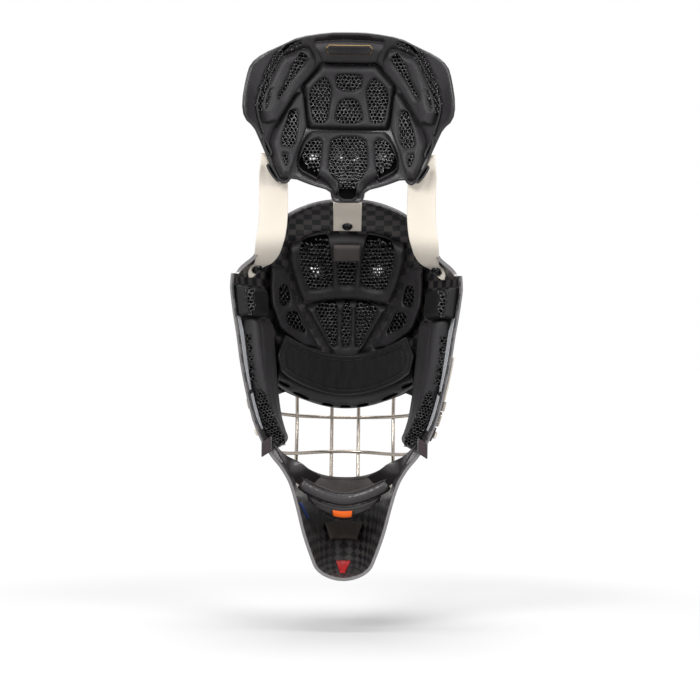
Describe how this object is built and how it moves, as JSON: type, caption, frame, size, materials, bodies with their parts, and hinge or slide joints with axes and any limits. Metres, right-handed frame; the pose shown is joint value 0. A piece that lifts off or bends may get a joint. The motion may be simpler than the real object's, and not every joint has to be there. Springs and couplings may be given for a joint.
{
  "type": "goalie mask",
  "caption": "Ice-hockey goalie mask: carbon shell with a wire cage, padded liner, sweatband, chin cup, and a padded back plate on elastic straps, flipped up.",
  "frame": {"origin": "centre of the wearer's head, which holds the mask", "axes": "+Z from chin to crown in the plane of the shell's rear opening, +Y towards the cage, +X to the right as seen from behind"},
  "size_m": [0.2322, 0.188, 0.5534],
  "materials": {
    "carbon": "checked spread-tow carbon under clear resin",
    "steel": "polished stainless wire",
    "black_steel": "black oxide snap",
    "plastic": "soft-sheen moulded plastic",
    "foam": "matt moulded foam and lattice",
    "cloth": "ribbed twill",
    "leather": "soft black leather",
    "elastic": "woven cream elastic",
    "dark_elastic": "woven dark elastic"
  },
  "bodies": {
    "shell": {"shell": "carbon", "cage": "steel", "cage_clip_top_l": "steel", "clip_screw_top_l": "steel", "cage_clip_side_l": "steel", "clip_screw_side_l": "steel", "cage_clip_chin_l": "steel", "clip_screw_chin_l": "steel", "cage_clip_top_r": "steel", "clip_screw_top_r": "steel", "cage_clip_side_r": "steel", "clip_screw_side_r": "steel", "cage_clip_chin_r": "steel", "clip_screw_chin_r": "steel", "crown_pad_upper": "foam", "crown_pad_lower": "foam", "crown_tab": "foam", "forehead_pad": "foam", "sweatband": "cloth", "temple_pad_l": "foam", "ear_pad_l": "foam", "jaw_pad_l": "foam", "temple_pad_r": "foam", "ear_pad_r": "foam", "jaw_pad_r": "foam", "chin_tab_pad": "foam", "crown_strap": "elastic", "crown_snap": "black_steel", "side_strap_l": "elastic", "side_snap_l": "black_steel", "side_strap_r": "elastic", "side_snap_r": "black_steel", "jaw_loop_l": "dark_elastic", "chin_strap_l": "leather", "outer_strap_l": "elastic", "strap_cap_l": "steel", "jaw_hook_l": "steel", "jaw_strap_l": "dark_elastic", "jaw_snap_l": "elastic", "jaw_loop_r": "dark_elastic", "chin_strap_r": "leather", "outer_strap_r": "elastic", "strap_cap_r": "steel", "jaw_hook_r": "steel", "jaw_strap_r": "dark_elastic", "jaw_snap_r": "elastic"},
    "back_plate": {"back_plate_shell": "plastic", "back_centre_pad": "foam", "back_lower_pad": "foam", "back_neck_pad": "foam", "back_wing_pad_l": "foam", "back_side_pad_l": "foam", "back_wing_pad_r": "foam", "back_side_pad_r": "foam"},
    "chin_cup": {"chin_cup_lobe": "leather", "chin_cup_roll": "leather", "chin_cup_band": "leather"}
  },
  "joints": [
    {"name": "back_plate_fold", "type": "hinge", "parent": "shell", "child": "back_plate", "pos_m": [0, -0.104, 0.15], "axis": [1, 0, 0], "range_deg": [0, 170], "deforming": ["crown_strap", "side_strap_l", "side_strap_r"]},
    {"name": "chin_cup_swing", "type": "hinge", "parent": "shell", "child": "chin_cup", "pos_m": [0, -0.035, -0.133], "axis": [1, 0, 0], "range_deg": [-6, 6]}
  ]
}
